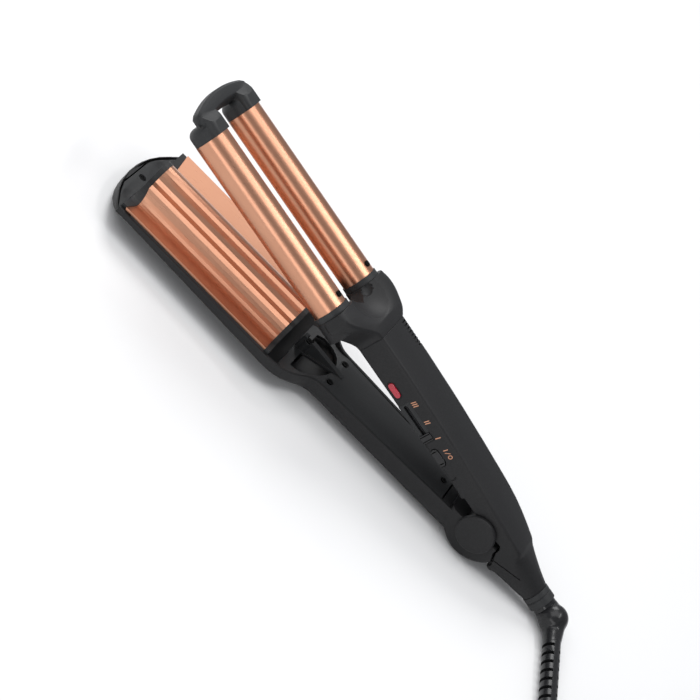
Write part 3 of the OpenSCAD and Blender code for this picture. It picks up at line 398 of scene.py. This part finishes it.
# %% Small pieces
knob = dressed_copy("knob_skin", "heat_slider", "heat_knob", "knob_black", 0.00022, 3)
key = dressed_copy("key_skin", "power_button", "power_key", "knob_black", 0.0003, 3)
lens = dressed_copy("lens_skin", "lamp_lens", "upper_arm", "red_lens", 0.0003, 3)
cover_plate = dressed_copy("cover_plate", "tip_cover", "lower_arm", "dark_trim", 0.0002)
inner_plate = dressed_copy("inner_plate", "lever_inner_cover", "lower_arm", "dark_trim", 0.0002)
collar = dressed_copy("collar_skin", "tail_collar", "upper_arm", "dark_trim", 0.0002)
caps = dressed_copy("cap_skin", "barrel_end_caps", "upper_arm", "dark_trim", 0.0002)

# %% [markdown]
# ## Floor and light
# A wide pale floor is the studio table.  Satin copper shows the lamps as bands, so their shapes
# matter more than their power: a long narrow strip above the handle draws the thin bright line
# on each barrel, a broad panel over the tips lights the bands of the wave plate, a window behind
# the tips casts the soft shadow towards us, and a low panel in front gives the tan band on the
# near half of each barrel.  The bright table does the rest.

# %% Floor
floor_mesh = bpy.data.meshes.new("studio_floor")
floor_shape = bmesh.new()
bmesh.ops.create_grid(floor_shape, x_segments=1, y_segments=1, size=12)
floor_shape.to_mesh(floor_mesh)
floor_shape.free()
floor = bpy.data.objects.new("studio_floor", floor_mesh)
bpy.context.scene.collection.objects.link(floor)
floor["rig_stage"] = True

floor_paint = bpy.data.materials.new("floor_paint")
floor_paint.use_nodes = True
floor_shader = floor_paint.node_tree.nodes["Principled BSDF"]
floor_shader.inputs["Base Color"].default_value = (0.86, 0.86, 0.86, 1)
floor_shader.inputs["Roughness"].default_value = 0.9
floor_mesh.materials.append(floor_paint)
print("floor", tuple(floor.dimensions))

# %% Lamps and world
bpy.context.scene.view_settings.view_transform = "Standard"
world = bpy.data.worlds.new("studio_world")
bpy.context.scene.world = world
world.use_nodes = True
world.node_tree.nodes["Background"].inputs["Color"].default_value = (0.93, 0.95, 1, 1)
world.node_tree.nodes["Background"].inputs["Strength"].default_value = 0.38


def soft_lamp(name, place, target, width, depth, power):
    """A rectangular area lamp that looks at a point."""
    lamp_data = bpy.data.lights.new(name, "AREA")
    lamp_data.shape = "RECTANGLE"
    lamp_data.size = width
    lamp_data.size_y = depth
    lamp_data.energy = power
    lamp = bpy.data.objects.new(name, lamp_data)
    lamp.location = place
    lamp.rotation_euler = (Vector(target) - Vector(place)).to_track_quat("-Z", "Y").to_euler()
    bpy.context.scene.collection.objects.link(lamp)
    return lamp


soft_lamp("strip_lamp", (0.5, 0.12, 1.6), (0, 0, 0), 1.1, 0.22, 6)
soft_lamp("panel_lamp", (-0.6, -0.35, 1.5), (-0.1, 0, 0), 1.3, 1.9, 14)
soft_lamp("window_lamp", (-0.75, 0.95, 1.15), (0, 0, 0), 0.9, 0.8, 12)
soft_lamp("front_lamp", (0.15, -1.5, 0.42), (0, 0, 0), 1.5, 0.5, 5)
print("lamps", len(bpy.data.lights))

# %% [markdown]
# ## Shared shader groups
# Moulded plastic has a fine grain, metal has long brushed streaks and both vary a little in
# gloss.  Each effect is one node group with named inputs, so every material can use it at its
# own scale.

# %% Helper that opens a shader group
def shader_group(name, inputs, outputs):
    """A node group with its sockets, its input node and its output node."""
    group = bpy.data.node_groups.new(name, "ShaderNodeTree")
    for label, value in inputs:
        socket = group.interface.new_socket(label, in_out="INPUT", socket_type="NodeSocketFloat")
        socket.default_value = value
    for label, kind in outputs:
        group.interface.new_socket(label, in_out="OUTPUT", socket_type=kind)
    return group, group.nodes.new("NodeGroupInput"), group.nodes.new("NodeGroupOutput")


# %% Fine grain of moulded plastic
grain, grain_in, grain_out = shader_group(
    "moulded_grain",
    [("Grain Size", 900.0), ("Gloss Low", 0.35), ("Gloss High", 0.5)],
    [("Height", "NodeSocketFloat"), ("Roughness", "NodeSocketFloat")],
)
grain_place = grain.nodes.new("ShaderNodeTexCoord")
grain_noise = grain.nodes.new("ShaderNodeTexNoise")
grain_noise.inputs["Detail"].default_value = 3
grain_cloud = grain.nodes.new("ShaderNodeTexNoise")
grain_cloud.inputs["Scale"].default_value = 24
grain_cloud.inputs["Detail"].default_value = 2
grain_range = grain.nodes.new("ShaderNodeMapRange")
grain_range.inputs["From Min"].default_value = 0.35
grain_range.inputs["From Max"].default_value = 0.65
link = grain.links.new
link(grain_place.outputs["Object"], grain_noise.inputs["Vector"])
link(grain_place.outputs["Object"], grain_cloud.inputs["Vector"])
link(grain_in.outputs["Grain Size"], grain_noise.inputs["Scale"])
link(grain_cloud.outputs["Fac"], grain_range.inputs["Value"])
link(grain_in.outputs["Gloss Low"], grain_range.inputs["To Min"])
link(grain_in.outputs["Gloss High"], grain_range.inputs["To Max"])
link(grain_noise.outputs["Fac"], grain_out.inputs["Height"])
link(grain_range.outputs["Result"], grain_out.inputs["Roughness"])
print(grain.name, len(grain.links), "links")

# %% Long brushed streaks of satin metal
streak, streak_in, streak_out = shader_group(
    "satin_streak",
    [("Streak Size", 700.0), ("Gloss Low", 0.24), ("Gloss High", 0.34)],
    [("Height", "NodeSocketFloat"), ("Roughness", "NodeSocketFloat"), ("Tone", "NodeSocketFloat")],
)
streak_place = streak.nodes.new("ShaderNodeTexCoord")
streak_stretch = streak.nodes.new("ShaderNodeMapping")
streak_stretch.inputs["Scale"].default_value = (0.04, 1, 1)
streak_noise = streak.nodes.new("ShaderNodeTexNoise")
streak_noise.inputs["Detail"].default_value = 4
streak_cloud = streak.nodes.new("ShaderNodeTexNoise")
streak_cloud.inputs["Scale"].default_value = 18
streak_range = streak.nodes.new("ShaderNodeMapRange")
streak_range.inputs["From Min"].default_value = 0.3
streak_range.inputs["From Max"].default_value = 0.7
link = streak.links.new
link(streak_place.outputs["Object"], streak_stretch.inputs["Vector"])
link(streak_stretch.outputs["Vector"], streak_noise.inputs["Vector"])
link(streak_place.outputs["Object"], streak_cloud.inputs["Vector"])
link(streak_in.outputs["Streak Size"], streak_noise.inputs["Scale"])
link(streak_noise.outputs["Fac"], streak_range.inputs["Value"])
link(streak_in.outputs["Gloss Low"], streak_range.inputs["To Min"])
link(streak_in.outputs["Gloss High"], streak_range.inputs["To Max"])
link(streak_noise.outputs["Fac"], streak_out.inputs["Height"])
link(streak_range.outputs["Result"], streak_out.inputs["Roughness"])
link(streak_cloud.outputs["Fac"], streak_out.inputs["Tone"])
print(streak.name, len(streak.links), "links")

# %% [markdown]
# ## Plastics and rubbers
# All the black pieces are moulded, but not from one tool: the shells are satin, the trims are
# painted a little lighter, a painted sheen for the bright end caps and bridge legs, the keys are
# glossy, and the lead and its boot are rubber.  The screws are painted almost black, a painted
# shade of the deep wells round their heads, so that they read as small holes.  One helper builds
# them all from the grain group and changes only the numbers.

# %% Black plastics
def moulded(name, dark, light, gloss, grain_size, depth, coat=0.0, mirror=0.3):
    """A plastic whose colour drifts from dark to light and whose gloss varies between two values."""
    paint = bpy.data.materials.new(name)
    paint.use_nodes = True
    tree = paint.node_tree
    shader = tree.nodes["Principled BSDF"]
    shader.inputs["Specular IOR Level"].default_value = mirror
    shader.inputs["Coat Weight"].default_value = coat
    shader.inputs["Coat Roughness"].default_value = 0.12
    effect = tree.nodes.new("ShaderNodeGroup")
    effect.node_tree = grain
    effect.inputs["Grain Size"].default_value = grain_size
    effect.inputs["Gloss Low"].default_value = gloss[0]
    effect.inputs["Gloss High"].default_value = gloss[1]
    tone = tree.nodes.new("ShaderNodeValToRGB")
    tone.color_ramp.elements[0].position = 0.35
    tone.color_ramp.elements[0].color = (*dark, 1)
    tone.color_ramp.elements[1].position = 0.65
    tone.color_ramp.elements[1].color = (*light, 1)
    bump = tree.nodes.new("ShaderNodeBump")
    bump.inputs["Distance"].default_value = depth
    bump.inputs["Strength"].default_value = 0.5
    tree.links.new(effect.outputs["Height"], tone.inputs["Fac"])
    tree.links.new(tone.outputs["Color"], shader.inputs["Base Color"])
    tree.links.new(effect.outputs["Roughness"], shader.inputs["Roughness"])
    tree.links.new(effect.outputs["Height"], bump.inputs["Height"])
    tree.links.new(bump.outputs["Normal"], shader.inputs["Normal"])
    return paint


paints = {
    "black_plastic": moulded(
        "shell_black", (0.009, 0.009, 0.0095), (0.014, 0.014, 0.015), (0.47, 0.57), 1400, 0.00004
    ),
    # painted sheen: the trims are painted lighter than the shells, for the bright end caps and bridge
    # legs
    "dark_trim": moulded(
        "trim_black", (0.019, 0.02, 0.021), (0.027, 0.028, 0.029), (0.45, 0.55), 1800, 0.00004
    ),
    "knob_black": moulded(
        "key_black", (0.006, 0.006, 0.007), (0.01, 0.01, 0.011), (0.14, 0.2), 600, 0.00001, 0.3
    ),
    "boot_rubber": moulded(
        "boot_black", (0.01, 0.01, 0.011), (0.016, 0.016, 0.017), (0.22, 0.3), 700, 0.00002, 0.1
    ),
    "cord_black": moulded(
        "lead_black", (0.012, 0.012, 0.013), (0.02, 0.02, 0.021), (0.38, 0.48), 900, 0.00003
    ),
    "plug_black": moulded(
        "plug_black", (0.012, 0.012, 0.013), (0.02, 0.02, 0.021), (0.36, 0.46), 1200, 0.00005
    ),
    "strap": moulded(
        "strap_black", (0.012, 0.012, 0.014), (0.035, 0.035, 0.04), (0.8, 0.9), 2600, 0.0002
    ),
    "switch_grey": moulded(
        "switch_grey", (0.06, 0.06, 0.065), (0.09, 0.09, 0.095), (0.45, 0.55), 1200, 0.00004
    ),
    "board_green": moulded(
        "board_green", (0.02, 0.12, 0.05), (0.03, 0.17, 0.08), (0.3, 0.4), 900, 0.00002
    ),
    # painted shade: the screw heads are painted almost black and get little mirror, for the shade in the
    # deep wells round them
    "dark_screw": moulded(
        "screw_painted_shade", (0.001, 0.001, 0.001), (0.003, 0.003, 0.003), (0.4, 0.5), 1500, 0.00002, 0.0, 0.08
    ),
}
print("plastics", len(paints))

# %% [markdown]
# ## Metals
# The barrels and the wave plate are aluminium with a rose-copper coat that is drawn along its
# length, so its gloss is streaked in X.  Steel is used for the hinge pin, spring and plug pins.

# %% Copper and steel
def satin_metal(name, dark, light, gloss, streak_size, depth):
    """A metal with streaks along X and a slow drift of tone."""
    paint = bpy.data.materials.new(name)
    paint.use_nodes = True
    tree = paint.node_tree
    shader = tree.nodes["Principled BSDF"]
    shader.inputs["Metallic"].default_value = 1.0
    effect = tree.nodes.new("ShaderNodeGroup")
    effect.node_tree = streak
    effect.inputs["Streak Size"].default_value = streak_size
    effect.inputs["Gloss Low"].default_value = gloss[0]
    effect.inputs["Gloss High"].default_value = gloss[1]
    tone = tree.nodes.new("ShaderNodeValToRGB")
    tone.color_ramp.elements[0].position = 0.3
    tone.color_ramp.elements[0].color = (*dark, 1)
    tone.color_ramp.elements[1].position = 0.7
    tone.color_ramp.elements[1].color = (*light, 1)
    bump = tree.nodes.new("ShaderNodeBump")
    bump.inputs["Distance"].default_value = depth
    bump.inputs["Strength"].default_value = 0.03
    tree.links.new(effect.outputs["Tone"], tone.inputs["Fac"])
    tree.links.new(tone.outputs["Color"], shader.inputs["Base Color"])
    tree.links.new(effect.outputs["Roughness"], shader.inputs["Roughness"])
    tree.links.new(effect.outputs["Height"], bump.inputs["Height"])
    tree.links.new(bump.outputs["Normal"], shader.inputs["Normal"])
    return paint


paints["copper_coat"] = satin_metal(
    "rose_copper", (0.55, 0.27, 0.17), (0.6, 0.31, 0.2), (0.27, 0.33), 2400, 0.00001
)
paints["steel"] = satin_metal(
    "plain_steel", (0.5, 0.5, 0.5), (0.6, 0.6, 0.61), (0.25, 0.35), 1200, 0.00002
)
paints["heat_spreader"] = satin_metal(
    "cast_spreader", (0.42, 0.42, 0.41), (0.5, 0.5, 0.49), (0.5, 0.6), 500, 0.00005
)

# %% Red lamp lens
lens_paint = bpy.data.materials.new("lamp_red")
lens_paint.use_nodes = True
lens_tree = lens_paint.node_tree
lens_shader = lens_tree.nodes["Principled BSDF"]
lens_shader.inputs["Roughness"].default_value = 0.18
lens_shader.inputs["Coat Weight"].default_value = 0.5
lens_place = lens_tree.nodes.new("ShaderNodeTexCoord")
lens_noise = lens_tree.nodes.new("ShaderNodeTexNoise")
lens_noise.inputs["Scale"].default_value = 260
lens_tone = lens_tree.nodes.new("ShaderNodeValToRGB")
lens_tone.color_ramp.elements[0].color = (0.34, 0.006, 0.02, 1)
lens_tone.color_ramp.elements[1].color = (0.52, 0.018, 0.045, 1)
lens_tree.links.new(lens_place.outputs["Object"], lens_noise.inputs["Vector"])
lens_tree.links.new(lens_noise.outputs["Fac"], lens_tone.inputs["Fac"])
lens_tree.links.new(lens_tone.outputs["Color"], lens_shader.inputs["Base Color"])
paints["red_lens"] = lens_paint
print("finishes", len(paints))

# %% [markdown]
# ## Put the finishes on the CAD nodes
# Every node names its material slot in the record, so a small loop gives each its finish.

# %% Paint the nodes
for entry in frame["record"]["subparts"]:
    node_mesh = nodes[entry["node"]].data
    node_mesh.materials.clear()
    node_mesh.materials.append(paints[entry["material_slot"]])
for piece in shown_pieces():
    if "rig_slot" in piece:
        piece.data.materials.clear()
        piece.data.materials.append(paints[piece["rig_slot"]])

# %% Update the view layer
bpy.context.view_layer.update()
